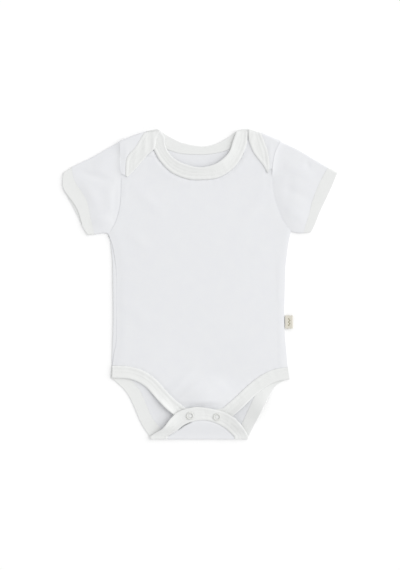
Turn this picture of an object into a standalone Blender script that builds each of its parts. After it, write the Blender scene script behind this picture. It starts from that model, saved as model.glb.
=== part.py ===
"""A short-sleeved baby bodysuit with an envelope neck, laid flat on its back.

Metres, +Z up, +Y towards the neck. The garment rests on the plane z = 0, with the origin
under the middle of its box. Outlines are in millimetres and are turned into metres by MM.
"""

import math

import bmesh
import bpy
import numpy as np
from mathutils import Vector

for leftover in list(bpy.data.objects):
    bpy.data.objects.remove(leftover)
parts = bpy.data.collections.new("baby_onesie")
bpy.context.scene.collection.children.link(parts)

MM = 0.001
WELD = 0.01             # points closer than this are one
CURVE_STEPS = 16        # short runs between two rows of an outline

# Cloth
JERSEY = 1.0            # wall of a single panel
BINDING = 1.3           # wall of a folded rib binding
SEAM_GAP = 0.3          # clearance between pieces that meet
BAND_WIDTH = 15.5       # neck and leg bindings
FRONT_LIFT = BINDING + SEAM_GAP
TORSO_LOFT = 1.8        # how far the front rises in the middle
LOFT_REACH_X = 102
LOFT_REACH_Y = 120
LOFT_CENTRE_Y = 12
SLEEVE_LOFT = 1.6
FOLD_PULL = 0.7         # how far a flattened fold's layers stop short of its edge

# Shoulder laps
LAP_LIFT = BINDING + SEAM_GAP
LAP_ROLL = 5.0          # how far from the shoulder line a lap comes down to the back

# Crotch
FOLD_Y = -193.6         # where the tongue turns over
FOLD_CENTRE_Y = -191.5
TONGUE_FOLD_TOP = 4.3
TONGUE_TOP = 7.0
TONGUE_TOP_Y = -170     # where the tongue has risen to the snaps
CROTCH_RISE = 0.6
CROTCH_RISE_Y = (-135, -155)

# Ring snaps
SNAP_RING_OUTER = 4.8
SNAP_RING_INNER = 2.8
SNAP_RING_HEIGHT = 0.7
SNAP_SOCKET_HOLE = 2.4
SNAP_SOCKET_HEIGHT = 0.8
SNAP_KNOB = 1.9
SNAP_STUD_BASE = 0.5
SNAP_STUD_HEIGHT = 1.4
SNAP_SIDES = 24

# Each outline has a row for each place where its bend changes: x and y.
ARMHOLE_LEFT = [(-101, 178.5), (-100.5, 155.5), (-99, 136.5), (-99, 118), (-100.5, 98),
                (-104.5, 81.5), (-109.5, 71), (-115, 62.5)]
ARMHOLE_RIGHT = [(100, 178.5), (94, 166.5), (90.5, 150.5), (89.5, 130.5), (91, 113),
                 (95.5, 98), (102, 80.5), (113, 66)]
SIDE_LEFT_BACK = [(-111, -102), (-110.5, -88.5), (-109, -51), (-109, -19.5), (-109.5, 11.5),
                  (-110, 30.5), (-113, 55.5), (-115, 62.5)]
SIDE_LEFT_FRONT = [(-110, -101.5), (-107.5, -84.5), (-105, -69.5), (-105, -19.5),
                   (-105, 11.5), (-107, 33), (-110.5, 50.5), (-115, 62.5)]
SIDE_RIGHT = [(109, -103.5), (107, -82), (105, -57), (104.5, -38.5), (105, -19.5),
              (106, 18), (107, 30.5), (110.5, 55.5), (113, 66)]
SHOULDER_LEFT = [(-101, 178.5), (-88, 184.5), (-75.5, 189), (-68, 191)]
SHOULDER_RIGHT = [(70.5, 190.5), (87, 185), (100, 178.5)]
BACK_NECK_EDGE = [(-64, 192.3), (-58, 193.4), (-53, 194), (-44.5, 188), (-32, 181), (-19.5, 176),
                  (-0.5, 172.5), (12, 173.5), (24.5, 178), (37, 185.5), (48, 193), (59.5, 194),
                  (66, 192.2)]
BACK_NECK_SEAM = [(-68, 191), (-60.5, 181.5), (-50.5, 173), (-40.5, 168), (-25.5, 163.5),
                  (-0.5, 162), (18, 163.5), (34.5, 168), (49.5, 177), (62, 187), (70.5, 190.5)]
FRONT_NECK_SEAM = [(-65.5, 181), (-62, 174), (-57.5, 166.5), (-50.5, 154), (-38, 141),
                   (-25.5, 134.5), (-13, 131), (-0.5, 130.5), (18, 132), (30.5, 137),
                   (43, 147), (52, 160), (57.5, 174), (59, 183)]
FRONT_NECK_EDGE = [(-50.5, 186.5), (-44.5, 176.5), (-40.5, 166), (-32, 156.5), (-19.5, 150),
                   (-0.5, 146), (18, 150), (30.5, 159), (37, 168), (40.5, 179), (45, 191.5)]
NECK_SEAM_END = (58.3, 191)  # the neckband goes on past the front's corner, beside the lap
FRONT_LEG_LEFT = [(-110, -101.5), (-94.5, -102), (-82, -104), (-69.5, -109), (-57, -117.5),
                  (-44.5, -131), (-32, -144), (-19.5, -154)]
FRONT_LEG_RIGHT = [(109, -103.5), (93, -106), (80.5, -111), (68, -119), (55.5, -129.5),
                   (43, -141.5), (28, -154.5)]
FRONT_CROTCH = [(-19.5, -154), (-8, -157), (4.5, -158), (17, -157), (28, -154.5)]
BACK_LEG_LEFT_EDGE = [(-112.5, -117), (-103, -124.5), (-92, -136), (-83, -153.5),
                      (-74.5, -173.5), (-63, FOLD_CENTRE_Y)]
BACK_LEG_LEFT_SEAM = [(-111, -102), (-93, -113), (-78, -129), (-69, -147), (-60, -167),
                      (-41, FOLD_CENTRE_Y)]
BACK_LEG_RIGHT_EDGE = [(109.5, -117.5), (94.5, -127), (84.5, -142), (74.5, -162),
                       (65.5, -179.5), (60, FOLD_CENTRE_Y)]
BACK_LEG_RIGHT_SEAM = [(109, -103.5), (84, -116), (70.5, -134.5), (60.5, -155), (52, -173),
                       (42, FOLD_CENTRE_Y)]
TONGUE_EDGE = [(-63, -189.9), (-54.5, -184.5), (-47, -179.5), (-37, -167), (-28, -159),
               (-13, -154), (-0.5, -153), (18, -156), (30.5, -160), (43, -167), (53, -178.5),
               (60, -189.9)]
TONGUE_SEAM = [(-41, -189.9), (-32, -184.5), (-19.5, -175), (-7, -170.5), (5.5, -169.5),
               (18, -172.5), (30.5, -179.5), (42, -189.9)]
# Each lap has its seam with the binding, the binding's edge, and its edge at the armhole.
LAPS = {
    "left": {
        "seam": [(-70.5, 189.5), (-77, 178.5), (-82.5, 170), (-89.5, 162), (-93, 154),
                 (-94, 136)],
        "edge": [(-50.5, 191.5), (-54.5, 183), (-57, 170), (-65.5, 162), (-79.5, 145.5),
                 (-91, 134)],
        "armhole": [(-100.4, 178.3), (-99.9, 155.5), (-98.6, 136)],
    },
    "right": {
        "seam": [(76, 188.5), (80.5, 176.5), (84.5, 165.5), (86, 154), (86.5, 144)],
        "edge": [(60.5, 193.5), (60.5, 185), (62, 175.5), (67, 163.5), (78, 149), (84, 139)],
        "armhole": [(99.2, 178.5), (93.3, 166.5), (89.9, 150.5), (89.5, 144)],
    },
}
# Each sleeve has its upper fold, its underarm seam, its open end, and the shares of its
# length where the turned hem begins, from the fold to the under arm.
SLEEVES = {
    "left": {
        "fold": [(-101, 178.5), (-119.5, 168), (-138, 157.5), (-157, 148.5), (-171, 140)],
        "under": [(-115, 62.5), (-120.5, 64), (-132, 62.5), (-140.5, 61.5)],
        "hem": [(-171, 140), (-172, 124), (-167, 111.5), (-157, 93), (-148, 74),
                (-140.5, 61.5)],
        "hem_starts": [0.855, 0.78, 0.71, 0.72, 0.69],
    },
    "right": {
        "fold": [(100, 178.5), (124.5, 166.5), (149.5, 151.5), (171, 139.5)],
        "under": [(113, 66), (124.5, 64), (137.5, 65)],
        "hem": [(171, 139.5), (162, 118), (149.5, 91.5), (141.5, 72), (137.5, 65)],
        "hem_starts": [0.836, 0.80, 0.78, 0.77, 0.66],
    },
}
SLEEVE_HEM_GAP = 0.007      # share of a sleeve's length, for the clearance beside its hem
# The top of each shoulder, from one sleeve to the other.
SHOULDER_LINE = [(-101, 178.5), (-88, 184.5), (-75.5, 189), (-63, 192.5), (-53, 194),
                 (48, 193), (59.5, 194), (74.5, 189.5), (87, 185), (100, 178.5)]

# Side label, a tape folded at its outer end
LABEL_START_X = 105.9
LABEL_END_X = 116
LABEL_LOW_Y = -55.3
LABEL_HIGH_Y = -39
LABEL_HEIGHT = 2.3

# Ring snaps, upwards from the back: x and y of each, then the height of each piece's foot
SNAPS = {"left": (-13, -164), "right": (20.5, -165.5)}
SNAP_RING_FOOT = 1.3
SNAP_STUD_FOOT = 3.8
SNAP_SOCKET_FOOT = 4.6
SNAP_CAP_FOOT = TONGUE_TOP + SEAM_GAP

FINISHES = {
    "jersey": {"colour": (0.82, 0.83, 0.84), "roughness": 0.9, "metallic": 0.0},
    "rib": {"colour": (0.84, 0.85, 0.84), "roughness": 0.9, "metallic": 0.0},
    "tape": {"colour": (0.66, 0.62, 0.54), "roughness": 0.7, "metallic": 0.0},
    "snap": {"colour": (0.78, 0.78, 0.77), "roughness": 0.35, "metallic": 0.0},
}

# Cells along each edge. Pieces that meet share the edge's points.
ARMHOLE_CELLS = 8
SIDE_CELLS = 6
LEG_CELLS = 8
SHOULDER_CELLS = 3
NECK_CELLS = 14
PANEL_CELLS = NECK_CELLS + 2 * SHOULDER_CELLS
CROTCH_CELLS = PANEL_CELLS - 2 * LEG_CELLS
FOLD_STEPS = 5
TONGUE_ROWS = 3
BAND_CELLS = 2
LAP_CELLS = 12
LAP_PANEL_CELLS = 4
SLEEVE_ROWS = 6
HEM_ROWS = 2
SLEEVE_FINE = 60


def smoothstep(low, high, value):
    """0 below low, 1 above high, and an even rise between them."""
    share = min(1.0, max(0.0, (value - low) / (high - low)))
    return share * share * (3 - 2 * share)


def smooth_line(rows, shares):
    """Points on a smooth curve through the rows, at these shares of its length."""
    knots = [Vector(row) for row in rows]
    ends = [2 * knots[0] - knots[1]] + knots + [2 * knots[-1] - knots[-2]]
    fine = []
    for before, start, stop, after in zip(ends, ends[1:], ends[2:], ends[3:]):
        for step in range(CURVE_STEPS):
            t = step / CURVE_STEPS
            fine.append(0.5 * (2 * start + (stop - before) * t
                               + (2 * before - 5 * start + 4 * stop - after) * t ** 2
                               + (3 * start - before - 3 * stop + after) * t ** 3))
    fine.append(knots[-1])
    reach = [0.0]
    for start, stop in zip(fine, fine[1:]):
        reach.append(reach[-1] + (stop - start).length)
    points = []
    for share in shares:
        target = reach[-1] * share
        place = 0
        while place < len(fine) - 2 and reach[place + 1] < target:
            place += 1
        part = (target - reach[place]) / (reach[place + 1] - reach[place])
        points.append(fine[place].lerp(fine[place + 1], part))
    return points


def even(cells):
    """Evenly spaced shares from 0 to 1."""
    return [cell / cells for cell in range(cells + 1)]


def moved_right(line, distance):
    """The line moved to its right-hand side, as seen from above along it."""
    points = []
    for place, point in enumerate(line):
        along = line[min(place + 1, len(line) - 1)] - line[max(place - 1, 0)]
        points.append(point + distance * Vector((along.y, -along.x)).normalized())
    return points


def joined(*lines):
    """The lines end to end, with each shared point once."""
    whole = list(lines[0])
    for line in lines[1:]:
        whole += line[1:]
    return whole


def patch(first, last, left, right, ups):
    """Rows of points that fill four edges, each blended with the one across from it."""
    columns = len(first) - 1
    grid = []
    for j, v in enumerate(ups):
        row = []
        for i in range(columns + 1):
            u = i / columns
            across = left[j].lerp(right[j], u)
            along = first[i].lerp(last[i], v)
            corners = first[0].lerp(first[-1], u).lerp(last[0].lerp(last[-1], u), v)
            row.append(across + along - corners)
        grid.append(row)
    return grid


def band(start, stop):
    """Rows of points across a strip, from one edge line to the other."""
    return [[a.lerp(b, share) for share in even(BAND_CELLS)] for a, b in zip(start, stop)]


def laid(grid, height):
    """The rows of a flat grid, each point raised to the height of its place."""
    return [[Vector((p.x, p.y, height(p.x, p.y))) for p in row] for row in grid]


def material(slot):
    """A piece's own finish, made once."""
    found = bpy.data.materials.get(slot)
    if found:
        return found
    made = bpy.data.materials.new(slot)
    made.use_nodes = True
    shader = made.node_tree.nodes["Principled BSDF"]
    shader.inputs["Base Color"].default_value = (*FINISHES[slot]["colour"], 1)
    shader.inputs["Roughness"].default_value = FINISHES[slot]["roughness"]
    shader.inputs["Metallic"].default_value = FINISHES[slot]["metallic"]
    return made


def add_object(name, bm, slot):
    """Turns a bmesh into a smooth object of the onesie."""
    mesh = bpy.data.meshes.new(name)
    bm.to_mesh(mesh)
    bm.free()
    mesh.shade_smooth()
    made = bpy.data.objects.new(name, mesh)
    made.data.materials.append(material(slot))
    parts.objects.link(made)
    return made


def add_sheet(name, skin, slot, thickness):
    """A cloth wall. skin holds rows of points on its outer face, and the wall lies inside.

    A row's points and then the next row turn anticlockwise, as seen from outside. Where a
    row ends on its own first point, the sheet is a tube.
    """
    rows = len(skin) - 1
    columns = len(skin[0]) - 1
    bm = bmesh.new()
    bmesh.ops.create_grid(bm, x_segments=columns, y_segments=rows, size=0.5)
    for vert in bm.verts:
        i = round((vert.co.x + 0.5) * columns)
        j = round((vert.co.y + 0.5) * rows)
        vert.co = skin[j][i] * MM
    bmesh.ops.remove_doubles(bm, verts=bm.verts, dist=WELD * MM)
    made = add_object(name, bm, slot)
    wall = made.modifiers.new("wall", "SOLIDIFY")
    wall.thickness = thickness * MM
    wall.offset = -1


def add_turned(name, profile, place):
    """A round snap piece, turned about an upright axis from radius and height pairs."""
    bm = bmesh.new()
    verts = [bm.verts.new((radius * MM, 0, height * MM)) for radius, height in profile]
    for start, stop in zip(verts, verts[1:]):
        bm.edges.new((start, stop))
    if profile[0][0] > 0:
        bm.edges.new((verts[-1], verts[0]))
    made = add_object(name, bm, "snap")
    made.location = Vector(place) * MM
    turn = made.modifiers.new("turn", "SCREW")
    turn.steps = SNAP_SIDES
    turn.render_steps = SNAP_SIDES
    turn.use_merge_vertices = True
    turn.merge_threshold = WELD * MM


def front_underside(x, y):
    """How high the front layer's lower face lies."""
    across = max(0.0, 1 - (x / LOFT_REACH_X) ** 2)
    along = max(0.0, 1 - ((y - LOFT_CENTRE_Y) / LOFT_REACH_Y) ** 2)
    crotch = CROTCH_RISE * smoothstep(*CROTCH_RISE_Y, y)
    return FRONT_LIFT + TORSO_LOFT * smoothstep(0, 1, across * along) + crotch


def lap_underside(x, y):
    """A lap lies on the front, and rolls down to the back at the shoulder line."""
    from_shoulder = float(np.interp(x, *zip(*SHOULDER_LINE))) - y
    share = smoothstep(0, LAP_ROLL, from_shoulder)
    return FRONT_LIFT + share * (front_underside(x, y) + LAP_LIFT - FRONT_LIFT)


def tongue_skin(y):
    """How high the upper face of the binding on the folded tongue lies."""
    rise = smoothstep(FOLD_CENTRE_Y, TONGUE_TOP_Y, y)
    return TONGUE_FOLD_TOP + (TONGUE_TOP - TONGUE_FOLD_TOP) * rise


def round_fold(points, top):
    """Rows of points that carry a line of the underside round the crotch fold."""
    reach = FOLD_CENTRE_Y - FOLD_Y
    rows = []
    for step in range(1, FOLD_STEPS + 1):
        turn = math.pi * step / FOLD_STEPS
        y = FOLD_CENTRE_Y - reach * math.sin(turn)
        z = top / 2 * (1 - math.cos(turn))
        rows.append([Vector((p.x, y, z)) for p in points])
    return rows


def make_back_panel():
    """The back, flat on its outer face, with the tongue folded up over the front."""
    neck = joined(smooth_line(SHOULDER_LEFT, even(SHOULDER_CELLS)), BACK_NECK["seam"],
                  smooth_line(SHOULDER_RIGHT, even(SHOULDER_CELLS)))
    left = joined(ARMHOLES["left"], smooth_line(SIDE_LEFT_BACK[::-1], even(SIDE_CELLS)),
                  BACK_LEGS["left"])
    right = joined(ARMHOLES["right"], smooth_line(SIDE_RIGHT[::-1], even(SIDE_CELLS)),
                   BACK_LEGS["right"])
    fold = [left[-1].lerp(right[-1], share) for share in even(PANEL_CELLS)]
    skin = laid(patch(neck, fold, left, right, even(len(left) - 1)), lambda x, y: 0.0)
    skin += round_fold(fold, TONGUE_FOLD_TOP - SEAM_GAP)
    for share in even(TONGUE_ROWS)[1:]:
        row = [a.lerp(b, share) for a, b in zip(fold, TONGUE["seam"])]
        skin.append([Vector((p.x, p.y, tongue_skin(p.y) - SEAM_GAP)) for p in row])
    add_sheet("back_panel", skin, "jersey", JERSEY)


def make_front_panel():
    """The front, lying on the back, under the laps and the tongue."""
    upper_left = ARMHOLES["left"][1]
    upper_right = ARMHOLES["right"][1]
    neck = joined([upper_left.lerp(FRONT_NECK["seam"][0], s) for s in even(SHOULDER_CELLS)],
                  FRONT_NECK["seam"],
                  [FRONT_NECK["seam"][-1].lerp(upper_right, s) for s in even(SHOULDER_CELLS)])
    left = joined(smooth_line(SIDE_LEFT_FRONT, even(SIDE_CELLS)), ARMHOLES["left"][:0:-1])
    right = joined(smooth_line(SIDE_RIGHT, even(SIDE_CELLS)), ARMHOLES["right"][:0:-1])
    grid = patch(FRONT_LEG_SEAM, neck, left, right, even(len(left) - 1))
    skin = laid(grid, lambda x, y: front_underside(x, y) + JERSEY)
    add_sheet("front_panel", skin, "jersey", JERSEY)


def make_neckbands():
    """Folded rib round the neck: the front band lies over the ends of the back one."""
    seam = moved_right(FRONT_NECK["band_seam"], -SEAM_GAP)
    skin = laid(band(FRONT_NECK["edge"], seam), lambda x, y: front_underside(x, y) + BINDING)
    add_sheet("neckband_front", skin, "rib", BINDING)
    seam = moved_right(BACK_NECK["seam"], -SEAM_GAP)
    skin = laid(band(seam, BACK_NECK["edge"]), lambda x, y: 0.0)
    add_sheet("neckband_back", skin, "rib", BINDING)


def make_leg_bindings():
    """One strip of folded rib along the front's lower edge, and one along the back's."""
    strip = band(moved_right(FRONT_LEG_SEAM, SEAM_GAP),
                 moved_right(FRONT_LEG_SEAM, SEAM_GAP + BAND_WIDTH))
    skin = laid(strip, lambda x, y: front_underside(x, y) + BINDING)
    add_sheet("leg_binding_front", skin, "rib", BINDING)

    tongue = band(TONGUE["edge"], moved_right(TONGUE["seam"], -SEAM_GAP))
    left = band(BACK_LEGS["left_edge"], moved_right(BACK_LEGS["left"], SEAM_GAP))
    right = band(BACK_LEGS["right_edge"], moved_right(BACK_LEGS["right"], -SEAM_GAP))
    skin = laid(left, lambda x, y: 0.0)
    skin += round_fold(left[-1], TONGUE_FOLD_TOP)
    skin += laid(tongue, lambda x, y: tongue_skin(y))
    skin += round_fold(right[-1], TONGUE_FOLD_TOP)[::-1]
    skin += laid(right[::-1], lambda x, y: 0.0)
    add_sheet("leg_binding_back", skin, "rib", BINDING)


def make_laps():
    """The back's shoulders, folded over the front, each with its bound edge."""
    for side, lap in LAPS.items():
        seam = smooth_line(lap["seam"], even(LAP_CELLS))
        edge = smooth_line(lap["edge"], even(LAP_CELLS))
        armhole = smooth_line(lap["armhole"], even(LAP_CELLS))
        inward = SEAM_GAP if side == "left" else -SEAM_GAP
        band_seam = moved_right(seam, -inward)
        if side == "left":
            strip = band(edge, band_seam)
            sides = (armhole[::-1], seam[::-1])
        else:
            strip = band(band_seam, edge)
            sides = (seam[::-1], armhole[::-1])
        first = [sides[0][0].lerp(sides[1][0], share) for share in even(LAP_PANEL_CELLS)]
        last = [sides[0][-1].lerp(sides[1][-1], share) for share in even(LAP_PANEL_CELLS)]
        grid = patch(first, last, *sides, even(LAP_CELLS))
        skin = laid(grid, lambda x, y: lap_underside(x, y) + JERSEY)
        add_sheet("shoulder_lap_" + side, skin, "jersey", JERSEY)
        skin = laid(strip, lambda x, y: lap_underside(x, y) + BINDING)
        add_sheet("lap_band_" + side, skin, "rib", BINDING)


def flattened_tube(grid, top, loft):
    """Rings round a tube that lies flat: each row is its upper layer, seen from above."""
    rings = []
    for row, along in grid:
        pulled = list(row)
        pulled[0] = row[0] + FOLD_PULL * (row[1] - row[0]).normalized()
        pulled[-1] = row[-1] + FOLD_PULL * (row[-2] - row[-1]).normalized()
        lower = [Vector((p.x, p.y, 0)) for p in pulled]
        upper = []
        for place, p in enumerate(pulled):
            bulge = math.sin(math.pi * place / (len(row) - 1)) * math.sin(math.pi * along)
            upper.append(Vector((p.x, p.y, top + loft * max(0.0, bulge))))
        under_arm = Vector((row[-1].x, row[-1].y, top / 2))
        over_arm = Vector((row[0].x, row[0].y, top / 2))
        rings.append(lower + [under_arm] + upper[::-1] + [over_arm, lower[0]])
    return rings


def place_on(rows, column, share):
    """The point on a column of close rows at this share of its length."""
    place = share * (len(rows) - 1)
    below = min(int(place), len(rows) - 2)
    return rows[below][column].lerp(rows[below + 1][column], place - below)


def make_sleeves():
    """Each sleeve is a tube pressed flat, with a turned hem at its end."""
    for side, sleeve in SLEEVES.items():
        outward = SEAM_GAP if side == "left" else -SEAM_GAP
        armhole = moved_right(ARMHOLES[side], outward)
        fine = even(SLEEVE_FINE)
        fold = smooth_line([armhole[0].to_tuple()] + sleeve["fold"][1:], fine)
        under = smooth_line([armhole[-1].to_tuple()] + sleeve["under"][1:], fine)
        hem = smooth_line(sleeve["hem"], even(ARMHOLE_CELLS))
        whole = patch(armhole, hem, fold, under, fine)
        starts = [p.y for p in smooth_line(list(enumerate(sleeve["hem_starts"])),
                                           even(ARMHOLE_CELLS))]
        stretches = {
            "sleeve": {"wall": JERSEY, "loft": SLEEVE_LOFT, "rows": SLEEVE_ROWS,
                       "spans": [(0.0, start) for start in starts]},
            "sleeve_hem": {"wall": BINDING, "loft": 0.0, "rows": HEM_ROWS,
                           "spans": [(start + SLEEVE_HEM_GAP, 1.0) for start in starts]},
        }
        for kind, stretch in stretches.items():
            shares = even(stretch["rows"])
            grid = [[place_on(whole, column, low + share * (high - low))
                     for column, (low, high) in enumerate(stretch["spans"])]
                    for share in shares]
            rings = flattened_tube(list(zip(grid, shares)), FRONT_LIFT + stretch["wall"],
                                   stretch["loft"])
            if side == "right":
                rings = [ring[::-1] for ring in rings]
            add_sheet(f"{kind}_{side}", rings, "jersey", stretch["wall"])


def make_label():
    """A woven tape folded in half, standing out of the side seam."""
    profile = [(LABEL_START_X, 0), (LABEL_END_X - FOLD_PULL, 0), (LABEL_END_X, LABEL_HEIGHT / 2),
               (LABEL_END_X - FOLD_PULL, LABEL_HEIGHT), (LABEL_START_X, LABEL_HEIGHT)]
    skin = [[Vector((x, y, z)) for x, z in profile] for y in (LABEL_HIGH_Y, LABEL_LOW_Y)]
    add_sheet("side_label", skin, "tape", JERSEY)


def make_snaps():
    """Two ring snaps, closed: cap and socket on the tongue, stud and ring on the front."""
    ring = [(SNAP_RING_OUTER, SNAP_RING_HEIGHT), (SNAP_RING_OUTER, 0), (SNAP_RING_INNER, 0),
            (SNAP_RING_INNER, SNAP_RING_HEIGHT)]
    socket = [(SNAP_RING_OUTER, SNAP_SOCKET_HEIGHT), (SNAP_RING_OUTER, 0),
              (SNAP_SOCKET_HOLE, 0), (SNAP_SOCKET_HOLE, SNAP_SOCKET_HEIGHT)]
    stud = [(0, SNAP_STUD_HEIGHT), (SNAP_KNOB, SNAP_STUD_HEIGHT), (SNAP_KNOB, SNAP_STUD_BASE),
            (SNAP_RING_OUTER, SNAP_STUD_BASE), (SNAP_RING_OUTER, 0), (0, 0)]
    for side, (x, y) in SNAPS.items():
        add_turned("snap_ring_" + side, ring, (x, y, SNAP_RING_FOOT))
        add_turned("snap_stud_" + side, stud, (x, y, SNAP_STUD_FOOT))
        add_turned("snap_socket_" + side, socket, (x, y, SNAP_SOCKET_FOOT))
        add_turned("snap_cap_" + side, ring, (x, y, SNAP_CAP_FOOT))


ARMHOLES = {
    "left": smooth_line(ARMHOLE_LEFT, even(ARMHOLE_CELLS)),
    "right": smooth_line(ARMHOLE_RIGHT, even(ARMHOLE_CELLS)),
}
BACK_NECK = {
    "seam": smooth_line(BACK_NECK_SEAM, even(NECK_CELLS)),
    "edge": smooth_line(BACK_NECK_EDGE, even(NECK_CELLS)),
}
FRONT_NECK = {
    "seam": smooth_line(FRONT_NECK_SEAM, even(NECK_CELLS)),
    "edge": smooth_line(FRONT_NECK_EDGE, even(NECK_CELLS + 1)),
}
FRONT_NECK["band_seam"] = FRONT_NECK["seam"] + [Vector(NECK_SEAM_END)]
FRONT_LEG_SEAM = joined(smooth_line(FRONT_LEG_LEFT, even(LEG_CELLS)),
                        smooth_line(FRONT_CROTCH, even(CROTCH_CELLS)),
                        smooth_line(FRONT_LEG_RIGHT[::-1], even(LEG_CELLS)))
BACK_LEGS = {
    "left": smooth_line(BACK_LEG_LEFT_SEAM, even(LEG_CELLS)),
    "left_edge": smooth_line(BACK_LEG_LEFT_EDGE, even(LEG_CELLS)),
    "right": smooth_line(BACK_LEG_RIGHT_SEAM, even(LEG_CELLS)),
    "right_edge": smooth_line(BACK_LEG_RIGHT_EDGE, even(LEG_CELLS)),
}
TONGUE = {
    "seam": smooth_line(TONGUE_SEAM, even(PANEL_CELLS)),
    "edge": smooth_line(TONGUE_EDGE, even(PANEL_CELLS)),
}

make_back_panel()
make_front_panel()
make_neckbands()
make_leg_bindings()
make_laps()
make_sleeves()
make_label()
make_snaps()
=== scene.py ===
import math

import bmesh
import bpy
import numpy as np
from mathutils import Matrix, Vector
from mathutils.bvhtree import BVHTree


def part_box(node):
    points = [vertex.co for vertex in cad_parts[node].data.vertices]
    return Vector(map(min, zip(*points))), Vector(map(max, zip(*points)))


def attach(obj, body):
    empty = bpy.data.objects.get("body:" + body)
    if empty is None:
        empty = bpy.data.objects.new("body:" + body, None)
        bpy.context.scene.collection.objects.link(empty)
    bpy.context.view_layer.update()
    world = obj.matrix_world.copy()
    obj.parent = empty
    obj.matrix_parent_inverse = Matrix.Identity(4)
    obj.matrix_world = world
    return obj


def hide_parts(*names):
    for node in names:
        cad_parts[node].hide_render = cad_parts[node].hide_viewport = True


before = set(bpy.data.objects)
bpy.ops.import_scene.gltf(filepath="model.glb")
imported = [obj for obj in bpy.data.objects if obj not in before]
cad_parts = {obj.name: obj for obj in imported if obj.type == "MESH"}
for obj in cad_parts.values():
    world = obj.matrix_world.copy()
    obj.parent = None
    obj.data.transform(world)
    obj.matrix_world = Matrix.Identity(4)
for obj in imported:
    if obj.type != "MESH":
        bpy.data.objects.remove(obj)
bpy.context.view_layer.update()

MM = 0.001

# ---------- camera, light and surface
# The garment lies on a white table, and the camera looks straight down on it. A broad, far
# studio light comes from the upper right, and an even white room fills in the rest.
VIEW_HEIGHT = 1.684
VIEW_CENTRE = (-0.0006, -0.0009)
LENS = 85
SENSOR = 36
ROOM_STRENGTH = 0.745
LAMP_WAY = (1.1, 0.4, 0.85)
LAMP_SPREAD = 1.2
LAMP_STRENGTH = 1.60
TABLE_SIZE = 6
TABLE_DROP = -0.0002


def linear(code):
    """An sRGB hex colour as linear red, green, blue and alpha."""
    levels = [int(code[i:i + 2], 16) / 255 for i in (1, 3, 5)]
    return [c / 12.92 if c <= 0.04045 else ((c + 0.055) / 1.055) ** 2.4 for c in levels] + [1]


def add_node(material, kind, settings=(), links=()):
    """A node with its settings, and links given as (own input, other node, its output)."""
    node = material.node_tree.nodes.new(kind)
    for key, value in dict(settings).items():
        if isinstance(key, str) and hasattr(node, key):
            setattr(node, key, value)
        else:
            node.inputs[key].default_value = value
    for own, other, output in links:
        material.node_tree.links.new(other.outputs[output], node.inputs[own])
    return node


def new_material(name):
    """An empty node material."""
    material = bpy.data.materials.new(name)
    material.use_nodes = True
    material.node_tree.nodes.clear()
    return material


camera_data = bpy.data.cameras.new("camera")
camera_data.lens = LENS
camera_data.sensor_width = SENSOR
camera = bpy.data.objects.new("camera", camera_data)
camera.location = (*VIEW_CENTRE, VIEW_HEIGHT)
bpy.context.scene.collection.objects.link(camera)
bpy.context.scene.camera = camera
bpy.context.scene.view_settings.view_transform = "Standard"

room = bpy.data.worlds.new("white_room")
room.use_nodes = True
room.node_tree.nodes["Background"].inputs["Color"].default_value = (1, 1, 1, 1)
room.node_tree.nodes["Background"].inputs["Strength"].default_value = ROOM_STRENGTH
bpy.context.scene.world = room

lamp_data = bpy.data.lights.new("studio_light", "SUN")
lamp_data.energy = LAMP_STRENGTH
lamp_data.angle = LAMP_SPREAD
lamp = bpy.data.objects.new("studio_light", lamp_data)
lamp.rotation_euler = Vector(LAMP_WAY).to_track_quat("Z", "Y").to_euler()
bpy.context.scene.collection.objects.link(lamp)

# Matt white laminate: even, with almost no gloss.
table_finish = new_material("white_laminate")
table_shader = add_node(table_finish, "ShaderNodeBsdfPrincipled",
                        {"Base Color": linear("#FCFCFC"), "Roughness": 0.9,
                         "Specular IOR Level": 0.1})
add_node(table_finish, "ShaderNodeOutputMaterial", links=[("Surface", table_shader, "BSDF")])
bm = bmesh.new()
bmesh.ops.create_grid(bm, x_segments=1, y_segments=1, size=TABLE_SIZE / 2)
bmesh.ops.translate(bm, verts=bm.verts, vec=(0, 0, TABLE_DROP))
mesh = bpy.data.meshes.new("table")
bm.to_mesh(mesh)
bm.free()
table = bpy.data.objects.new("table", mesh)
mesh.materials.append(table_finish)
bpy.context.scene.collection.objects.link(table)

# ---------- back panel
# White cotton interlock jersey, one cut from the neck to the crotch tongue. It lies flat on
# its outer face, comes round the left side to the side seam, and its tongue turns up over
# the front at the crotch. Lines are in millimetres from the garment's middle.
PANEL_WALL = 0.9
SEAM_GAP = 0.03
BAND_WALL = 1.3
# The front's height: flat, swollen in its middle, and raised and then drawn down at the crotch.
FRONT_LIFT = 1.6
FRONT_LOFT = 1.2
LOFT_REACH = (102, 120)
LOFT_CENTRE_Y = 12
CROTCH_RISE = 0.6
CROTCH_RISE_Y = (-155, -140)
CROTCH_FALL = 2.8
CROTCH_FALL_Y = (-152.5, -145.5)
CROTCH_FADE_Y = (-146, -108)
CROTCH_FALL_X = (3, 26)
# The crotch fold, and the tongue that goes on from it. A pressed fold is nearly square.
FOLD_CENTRE_Y = -191.5
FOLD_Y = -193.6
FOLD_SQUARENESS = 0.5
TONGUE_FOLD_TOP = 3.6
TONGUE_TOP = 7.0
TONGUE_TOP_Y = -170
TONGUE_STEP = 0.4
TONGUE_DITCH = (1.2, 0.7)
TONGUE_SPACING = 1.8
# The arch stands off the tongue round the first number, and leaves a slit that far.
SLIT_X = (-20, 8)
SLIT_DEPTH = 3.2
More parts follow.
